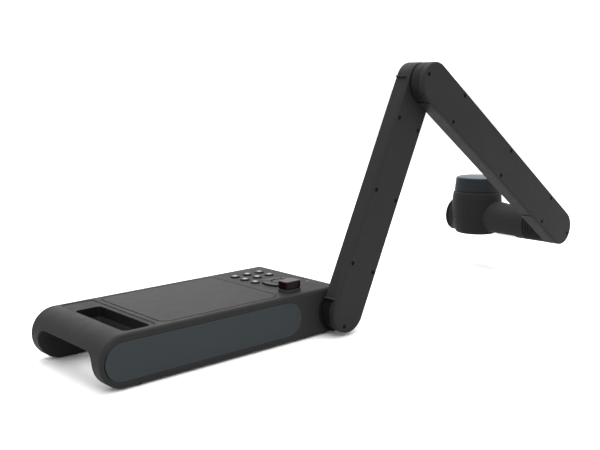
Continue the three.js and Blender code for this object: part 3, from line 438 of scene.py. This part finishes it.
# ---------------------------------------------------------------- new pieces
def piece(name, body, slot, mesh_maker, *details):
    """A new mesh piece: mesh_maker fills a bmesh in the frame's own coordinates, from details."""
    mesh = bpy.data.meshes.new(name)
    work = bmesh.new()
    mesh_maker(work, *details)
    bmesh.ops.recalc_face_normals(work, faces=work.faces)
    work.to_mesh(mesh)
    work.free()
    shade(mesh, True)
    made = bpy.data.objects.new(name, mesh)
    bpy.context.scene.collection.objects.link(made)
    mesh.materials.append(MATERIALS[slot])
    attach(made, body)


def turned(work, profile, place, sides):
    """Adds a piece turned about its own Z, from [radius, height] points, moved by the matrix place."""
    rings = []
    for radius, height in profile:
        if radius < 1e-7:
            rings.append([work.verts.new(place @ Vector((0, 0, height)))])
            continue
        ring = []
        for step in range(sides):
            angle = 2 * math.pi * step / sides
            point = Vector((radius * math.cos(angle), radius * math.sin(angle), height))
            ring.append(work.verts.new(place @ point))
        rings.append(ring)
    for low, high in zip(rings, rings[1:]):
        for step in range(sides):
            after = (step + 1) % sides
            corners = [low[step % len(low)], low[after % len(low)]]
            corners += [high[after % len(high)], high[step % len(high)]]
            work.faces.new(list(dict.fromkeys(corners)))


def socket_screw(work, place):
    """Adds a screw's head, with a chamfered edge and a round socket in its top, at the matrix place."""
    radius = SCREW_RADIUS
    rim = [(0, -SCREW_DEPTH), (radius, -SCREW_DEPTH), (radius, -SCREW_EDGE), (radius * 0.86, 0)]
    socket = [(radius * 0.55, 0), (radius * 0.5, -RECESS_DEPTH), (0, -RECESS_DEPTH)]
    turned(work, rim + socket, place, SCREW_SIDES)


def arm_matrix(pivot, tip, outer_y):
    """From an arm's own frame (Z out of its broad face, Y along it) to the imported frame."""
    along = Vector((tip.x - pivot.x, 0, tip.z - pivot.z)).normalized()
    out = Vector((0, -1, 0))
    across = along.cross(out)
    turn = Matrix((across, along, out)).transposed().to_4x4()
    return Matrix.Translation((pivot.x, outer_y, pivot.z)) @ turn


def arm_screws(name, body, cover, pivot, tip, rows, last=None):
    """One screw by the hinge, two in each row, and one at the distance last where that is given."""
    outer_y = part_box(cover)[0].y + SCREW_SUNK
    to_frame = arm_matrix(pivot, tip, outer_y)
    places = [(0, SCREW_FIRST)]
    for along in rows:
        places += [(-SCREW_ACROSS, along), (SCREW_ACROSS, along)]
    if last:
        places.append((0, last))
    for index, (across, along) in enumerate(places, 1):
        place = to_frame @ Matrix.Translation((across, along, 0))
        piece(f"{name}_{index}", body, "dark_plastic", socket_screw, place)


def build_screws():
    base = PIVOT["base_hinge"]
    elbow = PIVOT["elbow_hinge"]
    neck = PIVOT["neck_swivel"]
    arm_screws("lower_arm_screw", "lower_arm", "lower_arm_cover", base, elbow, LOWER_SCREW_ROWS)
    last = (Vector((neck.x, neck.z)) - Vector((elbow.x, elbow.z))).length + UPPER_SCREW_LAST
    arm_screws("upper_arm_screw", "upper_arm", "upper_arm_cover", elbow, neck, UPPER_SCREW_ROWS, last)


def head_radius(height):
    """The head drum's radius at a height above the neck's axis."""
    for (low, low_radius), (high, high_radius) in zip(DRUM_RADII, DRUM_RADII[1:]):
        if height <= high:
            part = (height - low) / (high - low)
            return low_radius + (high_radius - low_radius) * part
    return DRUM_RADII[-1][1]


def build_neck_rim():
    """A thin bead round the end of the neck, where it is cut to fit the drum."""
    axis = PIVOT["neck_swivel"]
    low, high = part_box("head_cap")
    drum_y = (low.y + high.y) / 2
    points = []
    for step in range(NECK_RIM_STEPS + 1):
        angle = math.radians(-NECK_RIM_DIP + (180 + 2 * NECK_RIM_DIP) * step / NECK_RIM_STEPS)
        across = NECK_END_RADIUS * math.cos(angle)
        height = NECK_END_LIFT + NECK_END_RADIUS * math.sin(angle)
        reach = math.sqrt(head_radius(height) ** 2 - across ** 2)
        points.append((axis.x + across, drum_y - reach - NECK_RIM_RADIUS, axis.z + height))
    data = bpy.data.curves.new("neck_rim", "CURVE")
    data.dimensions = "3D"
    data.bevel_depth = NECK_RIM_RADIUS
    data.bevel_resolution = 3
    data.use_fill_caps = True
    spline = data.splines.new("POLY")
    spline.points.add(len(points) - 1)
    for point, place in zip(spline.points, points):
        point.co = (*place, 1)
    rim = bpy.data.objects.new("neck_rim", data)
    bpy.context.scene.collection.objects.link(rim)
    data.materials.append(MATERIALS["body_plastic"])
    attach(rim, "head")


def rounded_block(work, low, high, edge):
    """Adds a box between two corners with its edges rounded."""
    middle = (Vector(low) + Vector(high)) / 2
    size = Vector(high) - Vector(low)
    shape = Matrix.Translation(middle) @ Matrix.Diagonal((*size, 1))
    made = bmesh.ops.create_cube(work, size=1, matrix=shape)
    edges = list({side for corner in made["verts"] for side in corner.link_edges})
    bmesh.ops.bevel(work, geom=edges, offset=edge, segments=2, profile=0.5, affect="EDGES")


def build_socket_tongues():
    """The contact tongue inside each flat socket."""
    for name in SOCKETS:
        low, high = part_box(name)
        middle = (low + high) / 2
        back = high.y - TONGUE_DEPTH
        front = back + 2 * TONGUE_HALF.y
        start = (middle.x - TONGUE_HALF.x, back, middle.z - TONGUE_HALF.z)
        end = (middle.x + TONGUE_HALF.x, front, middle.z + TONGUE_HALF.z)
        piece(f"{name}_tongue", "base", "dark_plastic", rounded_block, start, end, TONGUE_EDGE)


def build_cover_screws():
    """Six screws that hold the bottom cover."""
    low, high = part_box("bottom_cover")
    inset = COVER_SCREW_INSET
    face_down = Matrix.Rotation(math.pi, 4, "X")
    for column, x in enumerate((low.x + inset, (low.x + high.x) / 2, high.x - inset), 1):
        for row, y in enumerate((low.y + inset, high.y - inset), 1):
            place = Matrix.Translation((x, y, low.z - COVER_SCREW_PROUD)) @ face_down
            piece(f"cover_screw_{column}_{row}", "base", "steel", socket_screw, place)


# ---------------------------------------------------------------- floor, light and camera
def build_floor():
    mesh = bpy.data.meshes.new("floor")
    work = bmesh.new()
    corners = [(-1, -1), (1, -1), (1, 1), (-1, 1)]
    work.faces.new([work.verts.new((x * FLOOR_HALF, y * FLOOR_HALF, CAD_BOX[0].z)) for x, y in corners])
    work.to_mesh(mesh)
    work.free()
    floor = bpy.data.objects.new("floor", mesh)
    bpy.context.scene.collection.objects.link(floor)
    t = Tree("floor")
    t.set(Base_Color=t.blend(t.noise(0.4, 2.0), grey(0.72), grey(0.74)), Roughness=0.8)
    mesh.materials.append(t.material)


def area_light(name, place, target, size, power):
    data = bpy.data.lights.new(name, "AREA")
    data.shape = "RECTANGLE"
    data.size, data.size_y = size
    data.energy = power
    light = bpy.data.objects.new(name, data)
    light.location = place
    light.rotation_mode = "QUATERNION"
    light.rotation_quaternion = (Vector(target) - Vector(place)).to_track_quat("-Z", "Y")
    bpy.context.scene.collection.objects.link(light)


def build_light():
    world = bpy.data.worlds.new("studio")
    world.use_nodes = True
    background = world.node_tree.nodes["Background"]
    background.inputs["Color"].default_value = (1, 1, 1, 1)
    background.inputs["Strength"].default_value = WORLD_STRENGTH
    bpy.context.scene.world = world
    middle = (CAD_BOX[0] + CAD_BOX[1]) / 2
    for name, place, size, power in AREA_LIGHTS:
        area_light(name, place, middle, size, power)
    bpy.context.scene.view_settings.view_transform = "Standard"


def build_camera():
    data = bpy.data.cameras.new("camera")
    data.lens = CAMERA_LENS
    data.sensor_width = CAMERA_SENSOR
    camera = bpy.data.objects.new("camera", data)
    camera.location = BASE_LOW + CAMERA_FROM_BASE
    camera.rotation_euler = (math.pi / 2 - CAMERA_PITCH, 0, -CAMERA_YAW)
    bpy.context.scene.collection.objects.link(camera)
    bpy.context.scene.camera = camera


# ---------------------------------------------------------------- the whole scene
build_camera()
build_floor()
build_light()
dress_nodes()
build_screws()
build_neck_rim()
build_socket_tongues()
build_cover_screws()
